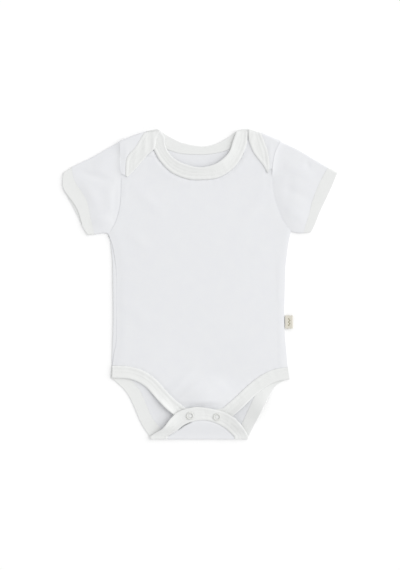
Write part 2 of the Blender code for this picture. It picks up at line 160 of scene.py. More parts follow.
# The turned left side, which tapers out at both its ends, and how far the front rolls down
# to its sides.
SIDE_ROUND = 0.35
SIDE_TAPER = 0.35
SIDE_SINK = 0.1
WRAP_BLEND = (0.3, 0.7)
EDGE_ROLL = {"left": 0.6, "right": 0.6}
EDGE_ROLL_REACH = {"left": 6.0, "right": 2.4}
RIM_ANGLE = 65
ARMHOLE_LEFT = [(-101, 178.5), (-100.5, 155.5), (-99, 136.5), (-99, 118), (-100.5, 98),
                (-104.5, 81.5), (-109.5, 71), (-115, 62.5)]
ARMHOLE_RIGHT = [(100, 178.5), (94, 166.5), (90.5, 150.5), (89.5, 130.5), (91, 113),
                 (95.5, 98), (102, 80.5), (113, 66)]
SIDE_LEFT_BACK = [(-111, -102), (-110.5, -88.5), (-109, -51), (-109, -19.5), (-109.5, 11.5),
                  (-110, 30.5), (-113, 55.5), (-115, 62.5)]
SIDE_LEFT_FRONT = [(-110, -101.5), (-107.5, -84.5), (-105, -69.5), (-105, -19.5),
                   (-105, 11.5), (-107, 33), (-110.5, 50.5), (-115, 62.5)]
SIDE_RIGHT = [(109, -103.5), (107, -82), (105, -57), (104.5, -38.5), (105, -19.5),
              (106, 18), (107, 30.5), (110.5, 55.5), (113, 66)]
SHOULDER_LEFT = [(-101, 178.5), (-88, 184.5), (-75.5, 189), (-68, 191)]
SHOULDER_RIGHT = [(70.5, 190.5), (87, 185), (100, 178.5)]
BACK_NECK_SEAM = [(-68, 191), (-60.5, 181.5), (-50.5, 173), (-40.5, 168), (-25.5, 163.5),
                  (-0.5, 162), (18, 163.5), (34.5, 168), (49.5, 177), (62, 187), (70.5, 190.5)]
BACK_LEG_LEFT_SEAM = [(-111, -102), (-93, -113), (-78, -129), (-69, -147), (-60, -167),
                      (-41, FOLD_CENTRE_Y)]
BACK_LEG_RIGHT_SEAM = [(109, -103.5), (84, -116), (70.5, -134.5), (60.5, -155), (52, -173),
                       (42, FOLD_CENTRE_Y)]
TONGUE_SEAM = [(-41, -189.9), (-32, -184.5), (-19.5, -175), (-7, -170.5), (5.5, -169.5),
               (18, -172.5), (30.5, -179.5), (42, -189.9)]
# Creases: where each starts and stops, its half width, and its height or depth. They fade
# towards their ends, and none sinks far into the layer below.
CREASE_TAPER = 0.8
CREASE_FLOOR = -0.1
CREASE_CLEAR = 12
BACK_CREASES = [((-96, -100), (-40, -178), 7, 0.5), ((92, -104), (48, -176), 6, 0.45),
                ((-20, 150), (-52, 96), 8, 0.4), ((30, 148), (66, 88), 9, 0.35),
                ((-70, 20), (-20, -60), 10, 0.4), ((80, 30), (30, -40), 11, 0.35),
                ((-84, 120), (-60, 50), 7, 0.35), ((10, 20), (24, -90), 9, 0.3)]
FRONT_CREASES = [((-52, -150), (2, -96), 4.5, 0.5), ((-34, -150), (14, -108), 4, 0.4),
                 ((40, -140), (8, -112), 5, 0.35), ((-88, 128), (-44, 84), 7, 0.35),
                 ((84, 122), (50, 70), 8, 0.35), ((-96, 70), (-60, 40), 7, 0.3),
                 ((98, 60), (62, 34), 7, 0.3), ((-100, -20), (-60, -50), 9, 0.25),
                 ((96, -50), (50, -76), 9, 0.25)]
# The back rises to its edge in the right leg.
BACK_SWELLS = [((78, -156), (16, 20), 5.4)]
BACK_SWELL_Y = (-190, -181)
# The front swells above the snapped tongue, where it stands off the back at the neck, and
# beside each leg opening: each swell's middle, its reach across and along, and its height.
FRONT_SWELLS = [((2, -133), (44, 13), 1.5), ((-4, 151), (44, 17), 2.7),
                ((-60, -88), (36, 26), 0.6), ((62, -92), (32, 26), 0.6)]
ARMHOLE_CELLS = 50
SHOULDER_CELLS = 12
SIDE_CELLS = 76
LEG_CELLS = 46
NECK_CELLS = 84
PANEL_CELLS = NECK_CELLS + 2 * SHOULDER_CELLS
WRAP_STEPS = 9
FOLD_STEPS = 10
TONGUE_CELLS = 22
# Points of a mesh closer than this, in metres, are one.
WELD = 0.000003
# The width of one band of a wave texture at a scale of 1.
WAVE_BAND = 0.314


def step_up(low, high, value):
    """0 below low, 1 above high, and a soft rise between them."""
    share = np.clip((np.asarray(value, float) - low) / (high - low), 0, 1)
    return share * share * (3 - 2 * share)


def smooth_line(rows, cells):
    """cells + 1 evenly spaced points on a smooth curve through the rows."""
    knots = np.array(rows, float)
    ends = np.vstack([2 * knots[0] - knots[1], knots, 2 * knots[-1] - knots[-2]])
    fine = []
    for p, q, r, s in zip(ends, ends[1:], ends[2:], ends[3:]):
        for t in np.arange(0, 1, 0.02):
            fine.append(0.5 * (2 * q + (r - p) * t + (2 * p - 5 * q + 4 * r - s) * t ** 2
                               + (3 * q - p - 3 * r + s) * t ** 3))
    fine = np.array(fine + [knots[-1]])
    reach = np.append(0, np.cumsum(np.linalg.norm(np.diff(fine, axis=0), axis=1)))
    shares = np.linspace(0, reach[-1], cells + 1)
    return np.stack([np.interp(shares, reach, fine[:, i]) for i in range(fine.shape[1])], 1)


def moved_right(line, distance):
    """The line moved to its right-hand side, as seen from above along it."""
    along = np.gradient(line, axis=0)
    normal = np.stack([along[:, 1], -along[:, 0]], 1)
    normal /= np.linalg.norm(normal, axis=1, keepdims=True)
    return line + normal * np.reshape(distance, (-1, 1))


def joined(*lines):
    """The lines end to end, with each shared point once."""
    return np.vstack([lines[0]] + [line[1:] for line in lines[1:]])


def between(start, stop, cells):
    """Evenly spaced points from one point to another."""
    return start + np.linspace(0, 1, cells + 1)[:, None] * (stop - start)


def patch(first, last, left, right):
    """A grid of points that fills four edges, each blended with the one across from it."""
    u = np.linspace(0, 1, len(first))[None, :, None]
    v = np.linspace(0, 1, len(left))[:, None, None]
    across = left[:, None] * (1 - u) + right[:, None] * u
    along = first[None] * (1 - v) + last[None] * v
    corners = ((first[0] * (1 - u) + first[-1] * u) * (1 - v)
               + (last[0] * (1 - u) + last[-1] * u) * v)
    return across + along - corners


def near(points, line):
    """How far each point is from a line, in the flat, and how far along the line."""
    flat = points[..., :2].reshape(-1, 2)
    gap = np.full(len(flat), 1e9)
    place = np.zeros(len(flat))
    reach = 0
    for start, stop in zip(line[:, :2], line[1:, :2]):
        run = stop - start
        length = np.linalg.norm(run)
        share = np.clip((flat - start) @ run / length ** 2, 0, 1)
        off = np.linalg.norm(flat - start - share[:, None] * run, axis=1)
        closer = off < gap
        gap[closer] = off[closer]
        place[closer] = reach + share[closer] * length
        reach += length
    return gap.reshape(points.shape[:-1]), place.reshape(points.shape[:-1])


def ditch(points, line, width, depth):
    """A narrow trough along a seam."""
    return -depth * np.exp(-(near(points, line)[0] / width) ** 2)


def relief(points, creases):
    """Soft ridges, or troughs where the height is below 0, each fading towards its ends."""
    total = np.zeros(points.shape[:-1])
    for start, stop, width, height in creases:
        run = np.array(stop, float) - start
        length = np.linalg.norm(run)
        off = points[..., :2] - np.array(start, float)
        along = np.clip(off @ run / length ** 2, 0, 1)
        side = off @ np.array([-run[1], run[0]]) / length
        total += height * np.sin(np.pi * along) ** CREASE_TAPER * np.exp(-(side / width) ** 2)
    return total


def swell(points, swells):
    """Broad soft rises."""
    total = np.zeros(points.shape[:-1])
    for middle, reach, height in swells:
        off = (points[..., :2] - np.array(middle, float)) / np.array(reach, float)
        total += height * np.exp(-(off ** 2).sum(-1))
    return total


def front_under(points):
    """How high the front layer's lower face lies."""
    x, y = points[..., 0], points[..., 1]
    across = np.clip(1 - (x / LOFT_REACH[0]) ** 2, 0, 1)
    along = np.clip(1 - ((y - LOFT_CENTRE_Y) / LOFT_REACH[1]) ** 2, 0, 1)
    loft = FRONT_LOFT * step_up(0, 1, across * along)
    crotch = CROTCH_RISE * (1 - step_up(*CROTCH_RISE_Y, y))
    middle, reach = CROTCH_FALL_X
    crotch = crotch + (CROTCH_FALL * np.exp(-((x - middle) / reach) ** 2)
                       * step_up(*CROTCH_FALL_Y, y) * (1 - step_up(*CROTCH_FADE_Y, y)))
    return (FRONT_LIFT + loft + crotch + swell(points, FRONT_SWELLS)
            + relief(points, FRONT_CREASES))


def back_lift(points):
    """How far the back stands off the table beside the tongue."""
    return swell(points, BACK_SWELLS) * step_up(*BACK_SWELL_Y, points[..., 1])


def with_height(grid, height):
    """The flat grid with a height for each point."""
    return np.concatenate([grid[..., :2], np.broadcast_to(height, grid.shape[:-1])[..., None]],
                          -1)


def add_piece(name, bm, finish):
    """An object from a bmesh, shaded smooth but for its sharp rims."""
    mesh = bpy.data.meshes.new(name)
    bm.to_mesh(mesh)
    bm.free()
    mesh.shade_smooth()
    mesh.set_sharp_from_angle(angle=math.radians(RIM_ANGLE))
    mesh.materials.append(finish)
    piece = bpy.data.objects.new(name, mesh)
    bpy.context.scene.collection.objects.link(piece)
    return piece


def grid_mesh(points, cut):
    """A bmesh grid through rows of points in millimetres. cut holds each point's place on
    the cloth as it was knitted, which the weave follows."""
    rows, columns = points.shape[0] - 1, points.shape[1] - 1
    bm = bmesh.new()
    weave = bm.loops.layers.uv.new("weave")
    bmesh.ops.create_grid(bm, x_segments=columns, y_segments=rows, size=0.5)
    for vert in bm.verts:
        i = round((vert.co.x + 0.5) * columns)
        j = round((vert.co.y + 0.5) * rows)
        for loop in vert.link_loops:
            loop[weave].uv = cut[j, i, :2] * MM
        vert.co = points[j, i] * MM
    bmesh.ops.remove_doubles(bm, verts=bm.verts, dist=WELD)
    return bm


def add_cloth(name, skin, finish, wall):
    """A cloth wall. skin holds rows of points on its outer face, and the wall lies inside."""
    piece = add_piece(name, grid_mesh(skin, skin), finish)
    shell = piece.modifiers.new("wall", "SOLIDIFY")
    shell.thickness = wall * MM
    shell.offset = -1
    whole = piece.evaluated_get(bpy.context.evaluated_depsgraph_get())
    piece.data = bpy.data.meshes.new_from_object(whole)
    piece.modifiers.clear()
    for vert in piece.data.vertices:
        vert.co.z = max(vert.co.z, 0)
    piece.data.set_sharp_from_angle(angle=math.radians(RIM_ANGLE))
    return piece


def knitted(name, shades, pitch, courses, depth, slack):
    """Cotton knit: columns of loops pitch mm apart, crossed by courses, under a soft nap."""
    finish = new_material(name)
    place = add_node(finish, "ShaderNodeUVMap", {"uv_map": "weave"})
    wales, rows = [
        add_node(finish, "ShaderNodeTexWave",
                 {"wave_type": "BANDS", "bands_direction": way, "wave_profile": "SIN",
                  "Scale": WAVE_BAND / (spacing * MM), "Distortion": bend, "Detail": 1.0,
                  "Detail Scale": 2.0}, [("Vector", place, "UV")])
        for way, spacing, bend in (("X", pitch, 0.6), ("Y", courses, 0.8))]
    loops = add_node(finish, "ShaderNodeMath", {"operation": "MULTIPLY"},
                     [(0, wales, "Fac"), (1, rows, "Fac")])
    nap = add_node(finish, "ShaderNodeTexNoise",
                   {"Scale": 60.0, "Detail": 5.0, "Roughness": 0.6}, [("Vector", place, "UV")])
    shade = add_node(finish, "ShaderNodeValToRGB", links=[("Fac", nap, "Fac")])
    shade.color_ramp.elements[0].position = 0.3
    shade.color_ramp.elements[0].color = linear(shades[0])
    shade.color_ramp.elements[1].position = 0.7
    shade.color_ramp.elements[1].color = linear(shades[1])
    sag = add_node(finish, "ShaderNodeBump", {"Strength": slack, "Distance": 0.6 * MM},
                   [("Height", nap, "Fac")])
    bump = add_node(finish, "ShaderNodeBump", {"Strength": depth, "Distance": 0.15 * MM},
                    [("Height", loops, "Value"), ("Normal", sag, "Normal")])
    shader = add_node(finish, "ShaderNodeBsdfPrincipled",
                      {"Roughness": 0.88, "Specular IOR Level": 0.2, "Sheen Weight": 0.08,
                       "Sheen Roughness": 0.5},
                      [("Base Color", shade, "Color"), ("Normal", bump, "Normal")])
    add_node(finish, "ShaderNodeOutputMaterial", links=[("Surface", shader, "BSDF")])
    return finish


def sewn_in(piece, slot, *nodes):
    """Fixes a piece to the garment's one body, in place of its plain solids."""
    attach(piece, "root")
    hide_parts(*nodes)


def tongue_skin(y):
    """How high the upper face of the binding on the folded tongue lies."""
    rise = step_up(FOLD_CENTRE_Y, TONGUE_TOP_Y, y)
    return TONGUE_FOLD_TOP + (TONGUE_TOP - TONGUE_FOLD_TOP) * rise


def squared(turn):
    """How far out and how high a pressed fold is, as it turns from 0 to pi. It lies flat
    almost to its edge."""
    turn = np.asarray(turn, float)
    level = -np.sign(np.cos(turn)) * np.abs(np.cos(turn)) ** FOLD_SQUARENESS
    return np.abs(np.sin(turn)) ** FOLD_SQUARENESS, (1 + level) / 2


def round_fold(line, top):
    """Rows of points that carry a line of the underside round the crotch fold."""
    turn = np.linspace(0, np.pi, FOLD_STEPS + 1)[1:, None]
    x = np.broadcast_to(line[None, :, 0], (FOLD_STEPS, len(line)))
    out, up = squared(turn)
    y = np.broadcast_to(FOLD_CENTRE_Y - (FOLD_CENTRE_Y - FOLD_Y) * out, x.shape)
    z = np.broadcast_to(top * up, x.shape)
    return np.stack([x, y, z], -1)


# Interlock jersey, knitted fine and washed: matt and soft, a cool white with faint loops.
# The loops are drawn at 1 mm, about half as fine as real ones, so that they show.
jersey = knitted("cotton_interlock_jersey", ("#E4E5E8", "#E6E7E9"), 1.0, 0.8, 0.3, 0.04)

armholes = {"left": smooth_line(ARMHOLE_LEFT, ARMHOLE_CELLS),
            "right": smooth_line(ARMHOLE_RIGHT, ARMHOLE_CELLS)}
back_neck_seam = smooth_line(BACK_NECK_SEAM, NECK_CELLS)
back_legs = {"left": smooth_line(BACK_LEG_LEFT_SEAM, LEG_CELLS),
             "right": smooth_line(BACK_LEG_RIGHT_SEAM, LEG_CELLS)}
tongue_seam = smooth_line(TONGUE_SEAM, PANEL_CELLS)
side_seam = smooth_line(SIDE_LEFT_FRONT[::-1], SIDE_CELLS)
side_right = smooth_line(SIDE_RIGHT, SIDE_CELLS)

side_fold = smooth_line(SIDE_LEFT_BACK[::-1], SIDE_CELLS)
wrap_share = np.sin(np.pi * np.linspace(0, 1, SIDE_CELLS + 1)) ** SIDE_TAPER
side_flat = side_fold + [1, 0] * (SIDE_ROUND * wrap_share)[:, None]
neck_line = joined(smooth_line(SHOULDER_LEFT, SHOULDER_CELLS), back_neck_seam,
                   smooth_line(SHOULDER_RIGHT, SHOULDER_CELLS))
left = joined(armholes["left"], side_flat, back_legs["left"])
right = joined(armholes["right"], side_right[::-1], back_legs["right"])
fold = between(left[-1], right[-1], PANEL_CELLS)
flat = patch(neck_line, fold, left, right)
inner = step_up(0, CREASE_CLEAR, np.minimum(near(flat, left)[0], near(flat, right)[0]))
flat = with_height(flat, inner * relief(flat, BACK_CREASES) + back_lift(flat))

# The columns that come round the left side, from the seam on top to the flat underside.
seam_top = front_under(side_seam) + PANEL_WALL - EDGE_ROLL["left"]
wraps = np.repeat(flat[:, :1], WRAP_STEPS, axis=1)
for j in range(SIDE_CELLS + 1):
    row = ARMHOLE_CELLS + j
    top = seam_top[j] * wrap_share[j]
    turn = np.linspace(0, np.pi, WRAP_STEPS - 1)[:-1]
    out, up = squared(np.pi - turn)
    wraps[row, 0] = (side_seam[j, 0] - SEAM_GAP, side_fold[j, 1],
                     top - SIDE_SINK * wrap_share[j])
    wraps[row, 1:-1, 0] = side_flat[j, 0] - SIDE_ROUND * wrap_share[j] * out
    wraps[row, 1:-1, 2] = top * up
    wraps[row, -1] = wraps[row, -2] * WRAP_BLEND[0] + flat[row, 0] * WRAP_BLEND[1]
flat = np.concatenate([wraps, flat], axis=1)

fold_row = flat[-1, :, :2]
tongue_row = np.concatenate([np.repeat(tongue_seam[:1], WRAP_STEPS, axis=0), tongue_seam])
shares = 1 - (1 - np.linspace(0, 1, TONGUE_CELLS + 1)[1:, None, None]) ** TONGUE_SPACING
tongue = fold_row + shares * (tongue_row - fold_row)[None]
slit = SLIT_DEPTH * np.exp(-((tongue[..., 0] - SLIT_X[0]) / SLIT_X[1]) ** 4)
height = (tongue_skin(tongue[..., 1]) - TONGUE_STEP
          + ditch(tongue, tongue_seam, *TONGUE_DITCH) * (1 + slit))
skin = np.concatenate([flat, round_fold(fold_row, TONGUE_FOLD_TOP - TONGUE_STEP),
                       with_height(tongue, height)])
back_cloth = add_cloth("back_cloth", skin, jersey, PANEL_WALL)
sewn_in(back_cloth, "jersey", "back_panel")

# ---------- back neckband
# A strip of 1 by 1 cotton rib, folded over the back neck's edge and stitched down. Its
# inside shows in the neck opening.
BACK_NECK_EDGE = [(-64, 192.3), (-58, 193.4), (-53, 194), (-44.5, 188), (-32, 181),
                  (-19.5, 176), (-0.5, 172.5), (12, 173.5), (24.5, 178), (37, 185.5), (48, 193),
                  (59.5, 194), (66, 192.2)]
ROUND_STEPS = 6
BAND_CELLS = 22
# A binding sinks a little beside both its rims, and under its two rows of stitches.
BAND_ROLL = 0.25
BAND_ROLL_PLACE = 2.0
BAND_ROLL_REACH = 1.5
ROW_PLACES = (4.8, 8.8)
ROW_SINK = 0.16
ROW_REACH = 0.9


def rounded_strip(edge, seam, wall, side):
    """Rings round a folded strip, whose outer face runs from one 3-D line to another, and
    each point's place on the strip. side is 1 or -1, for the way in from the outer face."""
    wall = np.reshape(np.broadcast_to(wall, len(edge)), (-1, 1))
    along = np.gradient((edge + seam) / 2, axis=0)
    across = seam - edge
    inward = side * np.cross(along, across)
    inward /= np.linalg.norm(inward, axis=1, keepdims=True)
    width = np.linalg.norm(across, axis=1)[:, None]
    turn = np.linspace(-np.pi / 2, np.pi / 2, ROUND_STEPS + 1)
    middle = np.linspace(0, 1, BAND_CELLS + 1)[1:-1]
    rounded = wall / 2 * (1 - np.cos(turn))
    run = wall / 2 + (width - wall) * middle
    distance = np.hstack([rounded, run, width - rounded, run[:, ::-1]])
    sunk = sum(np.exp(-((width - run - place) / ROW_REACH) ** 2) for place in ROW_PLACES)
    rolls = sum(np.exp(-((gap - BAND_ROLL_PLACE) / BAND_ROLL_REACH) ** 2)
                for gap in (run, width - run))
    crown = ROW_SINK * sunk - BAND_ROLL * rolls
    depth = np.hstack([wall * (1 - np.sin(turn)) / 2, crown, wall * (1 + np.sin(turn)) / 2,
                       np.broadcast_to(wall, crown.shape)])
    rings = edge[:, None] + (distance / width)[..., None] * across[:, None]
    rings = rings + depth[..., None] * inward[:, None]
    steps = np.linalg.norm(np.diff((edge + seam) / 2, axis=0), axis=1)
    length = np.append(0, np.cumsum(steps))[:, None]
    cut = np.stack([np.broadcast_to(length, distance.shape), distance], -1)
    return np.concatenate([rings, rings[:, :1]], 1), np.concatenate([cut, cut[:, :1]], 1)


def add_binding(name, rings, cut, finish):
    """A closed rounded strip with closed ends."""
    bm = grid_mesh(rings, cut)
    ends = [edge for edge in bm.edges if edge.is_boundary]
    bmesh.ops.holes_fill(bm, edges=ends)
    bmesh.ops.recalc_face_normals(bm, faces=bm.faces)
    return add_piece(name, bm, finish)


# Cotton rib: fuller and a little warmer than the jersey, with its ribs across the strip.
# The ribs are drawn at 1.6 mm, a little coarser than real ones, so that they show.
rib = knitted("cotton_rib", ("#E6E7E6", "#E8E9E8"), 1.6, 0.9, 0.5, 0.03)

back_neck_edge = smooth_line(BACK_NECK_EDGE, NECK_CELLS)
rings, cut = rounded_strip(with_height(back_neck_edge, 0),
                           with_height(moved_right(back_neck_seam, -SEAM_GAP), 0),
                           BAND_WALL, -1)
rings[..., 2] = np.maximum(rings[..., 2], 0)
back_neckband = add_binding("back_neck_binding", rings, cut, rib)
sewn_in(back_neckband, "rib", "neckband_back")

# ---------- back leg binding
# One strip of the same rib. It runs down the left leg opening, turns up with the crotch
# fold, arches over the tongue, turns down again and runs up the right leg opening.
BACK_LEG_LEFT_EDGE = [(-112.5, -117), (-103, -124.5), (-92, -136), (-83, -153.5),
                      (-74.5, -173.5), (-63, FOLD_CENTRE_Y)]
BACK_LEG_RIGHT_EDGE = [(109.5, -117.5), (94.5, -127), (84.5, -142), (74.5, -162),
                       (65.5, -179.5), (60, FOLD_CENTRE_Y)]
TONGUE_EDGE = [(-63, -189.9), (-54.5, -184.5), (-47, -179.5), (-37, -167), (-28, -159),
               (-13, -154), (-0.5, -153), (18, -156), (30.5, -160), (43, -167), (53, -178.5),
               (60, -189.9)]
SNAPS = {"left": (-13, -164), "right": (20.5, -165.5)}
SNAP_DOME = 0.45
SNAP_DOME_REACH = 2.0
LEG_WALL = 0.95
# The arch's free edge stands up towards both its ends, from the first to the second distance
# from its middle, and comes down to nothing at its feet.
LEG_MIDDLE = -1.5
ARCH_TILT = 2.6
ARCH_TILT_X = (26, 44)
ARCH_FOOT_Y = (-189, -176)
# Rib gathers where the strip bends round the arch.
ARCH_CREASES = [((-52, -186), (-40, -174), 1.6, 0.35), ((-45, -182), (-33, -168), 1.4, -0.25),
                ((40, -172), (52, -184), 1.6, 0.35), ((46, -170), (57, -184), 1.4, -0.25),
                ((-8, -168), (-6, -156), 2.0, 0.2), ((6, -168), (5, -155), 2.0, -0.2),
                ((33, -176), (37, -163), 1.6, 0.25)]


def leg_line(left, tongue, right):
    """A line down the left leg, round the fold, over the tongue and up the right leg."""
    return np.concatenate([
        with_height(left, back_lift(left)),
        round_fold(left[-1:], TONGUE_FOLD_TOP)[:, 0],
        with_height(tongue, tongue_skin(tongue[:, 1])),
        round_fold(right[-1:], TONGUE_FOLD_TOP)[::-1, 0],
        with_height(right[::-1], back_lift(right[::-1]))])


tongue_edge = smooth_line(TONGUE_EDGE, PANEL_CELLS)
leg_edge = leg_line(smooth_line(BACK_LEG_LEFT_EDGE, LEG_CELLS), tongue_edge,
                    smooth_line(BACK_LEG_RIGHT_EDGE, LEG_CELLS))
leg_seam = leg_line(moved_right(back_legs["left"], SEAM_GAP),
                    moved_right(tongue_seam, -SEAM_GAP),
                    moved_right(back_legs["right"], -SEAM_GAP))
wall = np.full(len(leg_edge), LEG_WALL)
wall[LEG_CELLS:-LEG_CELLS] = BAND_WALL
rings, cut = rounded_strip(leg_edge, leg_seam, wall, 1)
# Only the part over the tongue is creased and tilted, and upper is 0 elsewhere.
arch = LEG_CELLS + 1 + FOLD_STEPS
upper = np.zeros(rings.shape[:-1])
upper[arch:-arch] = step_up(*ARCH_FOOT_Y, rings[arch:-arch, :, 1])
width = np.linalg.norm(leg_seam - leg_edge, axis=1)[:, None]
outer = (1 - cut[..., 1] / width) * step_up(*ARCH_TILT_X, np.abs(leg_edge[:, :1] - LEG_MIDDLE))
rings[..., 2] += upper * (relief(rings, ARCH_CREASES) + ARCH_TILT * outer)
for place in SNAPS.values():
    off = np.linalg.norm(rings[..., :2] - place, axis=-1)
    dome = SNAP_DOME * np.exp(-(off / SNAP_DOME_REACH) ** 4)
    rings[..., 2] += upper * dome * (cut[..., 1] > 0)
rings[..., 2] = np.maximum(rings[..., 2], 0)
back_leg_binding = add_binding("back_leg_binding", rings, cut, rib)
sewn_in(back_leg_binding, "rib", "leg_binding_back")

# ---------- front panel
# One cut of the same jersey. It lies on the back, swells a little in the middle, and is
# drawn down along its seams. A pressed seam allowance shows through it at both sides.
FRONT_NECK_SEAM = [(-65.5, 181), (-62, 174), (-57.5, 166.5), (-50.5, 154), (-38, 141),
                   (-25.5, 134.5), (-13, 131), (-0.5, 130.5), (18, 132), (30.5, 137),
                   (43, 147), (52, 160), (57.5, 174), (59, 183)]
FRONT_LEG_LEFT = [(-110, -101.5), (-94.5, -102), (-82, -104), (-69.5, -109), (-57, -117.5),
                  (-44.5, -131), (-32, -144), (-19.5, -154)]
FRONT_LEG_RIGHT = [(109, -103.5), (93, -106), (80.5, -111), (68, -119), (55.5, -129.5),
                   (43, -141.5), (28, -154.5)]
FRONT_CROTCH = [(-19.5, -154), (-8, -157), (4.5, -158), (17, -157), (28, -154.5)]
ALLOWANCE_CELLS = 30
ALLOWANCE_RIDGE = (1.1, -0.22)
ALLOWANCES = [[(95.5, 43), (97.5, 36), (98, 10), (98, -20), (102.5, -27)],
              [(99, -50), (99.4, -76), (99.6, -101)],
              [(-91.5, 133), (-92.5, 124), (-94.4, 109)]]
# Tucks in the cloth beside the laps: under the left one, and at the right one's tip.
LAP_TUCKS = [((-71, 160.5), (-56, 158), 1.8, -0.6), ((-59, 166), (-51.5, 154.5), 1.3, -0.55),
             ((83.3, 146), (85, 133), 1.6, -1.2), ((84.5, 134), (83, 116), 1.6, -0.25)]
DITCH_WIDTH = 1.5
DITCH_DEPTH = 0.12
NECK_DITCH = (2.4, 0.9)
LEG_DITCH = (1.8, 0.5)
PUCKER_PITCH = 8.5
PUCKER_REACH = 5.5
PUCKER_HEIGHT = 0.14
# How far the pitch wanders, over what length along the seam, and where it begins.
PUCKER_WANDER = ((2.2, 13.7, 0), (1.3, 5.1, 1))


def puckers(points, line):
    """Small uneven ripples where the sewing draws the cloth in beside a seam."""
    gap, place = near(points, line)
    wander = place
    for size, length, start in PUCKER_WANDER:
        wander = wander + size * np.sin(place / length + start)
    return (PUCKER_HEIGHT * np.cos(2 * np.pi * wander / PUCKER_PITCH)
            * np.exp(-gap / PUCKER_REACH))


front_neck_seam = smooth_line(FRONT_NECK_SEAM, NECK_CELLS)
front_leg_seam = joined(smooth_line(FRONT_LEG_LEFT, LEG_CELLS),
                        smooth_line(FRONT_CROTCH, PANEL_CELLS - 2 * LEG_CELLS),
                        smooth_line(FRONT_LEG_RIGHT[::-1], LEG_CELLS))
upper_left, upper_right = armholes["left"][1], armholes["right"][1]
neck_line = joined(between(upper_left, front_neck_seam[0], SHOULDER_CELLS), front_neck_seam,
                   between(front_neck_seam[-1], upper_right, SHOULDER_CELLS))
left = joined(side_seam[::-1], armholes["left"][:0:-1])
right = joined(side_right, armholes["right"][:0:-1])
grid = patch(front_leg_seam, neck_line, left, right)
height = front_under(grid) + PANEL_WALL
for side, line in (("left", side_seam), ("right", side_right)):
    height += ditch(grid, line, EDGE_ROLL_REACH[side], EDGE_ROLL[side])
for line in armholes.values():
    height += ditch(grid, line, DITCH_WIDTH, DITCH_DEPTH)
height += ditch(grid, front_neck_seam, *NECK_DITCH) + ditch(grid, front_leg_seam, *LEG_DITCH)
for line in (front_neck_seam, front_leg_seam):
    height += puckers(grid, line)
for line in ALLOWANCES:
    height += ditch(grid, smooth_line(line, ALLOWANCE_CELLS), *ALLOWANCE_RIDGE)
height += relief(grid, LAP_TUCKS)
front_cloth = add_cloth("front_cloth", with_height(grid, height), jersey, PANEL_WALL)
sewn_in(front_cloth, "jersey", "front_panel")

# ---------- front leg binding
# One folded strip of rib along the front's whole lower edge. Its middle lies under the
# tongue, where it holds the lower halves of the snaps.
LEG_BAND_WIDTH = 15.5
LEG_TILT = 3.3
LEG_TILT_X = (-45, 48)
LEG_TILT_REACH = 16
# Gathers in its left end, where the tongue holds it, and along both legs.
LEG_CREASES = [((-44, -150), (-36, -160), 1.5, 0.45), ((-39, -145), (-31, -156), 1.3, -0.3),
               ((-50, -143), (-43, -154), 1.6, 0.3), ((-56, -134), (-50, -146), 2.0, -0.25),
               ((-74, -108), (-68, -122), 2.5, 0.2), ((-98, -100), (-97, -114), 2.5, 0.2),
               ((50, -134), (57, -146), 1.8, 0.3), ((43, -142), (50, -153), 1.6, -0.25),
               ((72, -116), (76, -130), 2.5, 0.2), ((92, -105), (95, -119), 2.5, -0.2)]


def front_strip(edge, seam, side, creases, tilt):
    """A rounded strip that lies on the front's height, and stands off it at its edge."""
    rings, cut = rounded_strip(with_height(edge, BAND_WALL), with_height(seam, BAND_WALL),
                               BAND_WALL, side)
    width = np.linalg.norm(seam - edge, axis=1)
    width = np.repeat(width[:, None], rings.shape[1], axis=1)
    rings[..., 2] += front_under(rings) + relief(rings, creases)
    rings[..., 2] += np.reshape(tilt, (-1, 1)) * (1 - cut[..., 1] / width) ** 2
    return rings, cut


seam = moved_right(front_leg_seam, SEAM_GAP)
edge = moved_right(front_leg_seam, SEAM_GAP + LEG_BAND_WIDTH)
front_leg_lines = {"seam": seam, "edge": edge}
tilt = sum(LEG_TILT * np.exp(-((edge[:, 0] - x) / LEG_TILT_REACH) ** 2) for x in LEG_TILT_X)
rings, cut = front_strip(edge, seam, -1, LEG_CREASES, tilt)
rings[..., 2] += puckers(rings, front_leg_seam)
front_leg_binding = add_binding("front_leg_binding", rings, cut, rib)
sewn_in(front_leg_binding, "rib", "leg_binding_front")

# ---------- front neckband
# A folded strip of rib round the front neck. It runs under the laps at both shoulders, and
# its free edge stands a little off the back.
FRONT_NECK_EDGE = [(-50, 191.5), (-45, 184.5), (-44.4, 176.6), (-40.6, 166), (-32, 156.5),
                   (-19.5, 150), (-0.5, 146), (18, 150), (30.5, 159), (37, 168), (40.5, 179),
                   (45, 191.5)]
NECK_SEAM_END = (59.5, 191)
NECK_TILT = (0.3, 1.4)
NECK_TILT_X = (0, 30)
NECK_CREASES = [((-30, 142), (-24, 154), 2.5, 0.2), ((10, 133), (11, 149), 2.8, -0.18),
                ((33, 142), (27, 156), 2.4, 0.2), ((52, 168), (38, 172), 2.4, -0.2)]

front_neck_edge = smooth_line(FRONT_NECK_EDGE, NECK_CELLS)
neck_seam = moved_right(smooth_line(FRONT_NECK_SEAM + [NECK_SEAM_END], NECK_CELLS), -SEAM_GAP)
tilt = np.interp(front_neck_edge[:, 0], NECK_TILT_X, NECK_TILT)
rings, cut = front_strip(front_neck_edge, neck_seam, 1, NECK_CREASES, tilt)
rings[..., 2] += puckers(rings, front_neck_seam)
front_neckband = add_binding("front_neck_binding", rings, cut, rib)
sewn_in(front_neckband, "rib", "neckband_front")

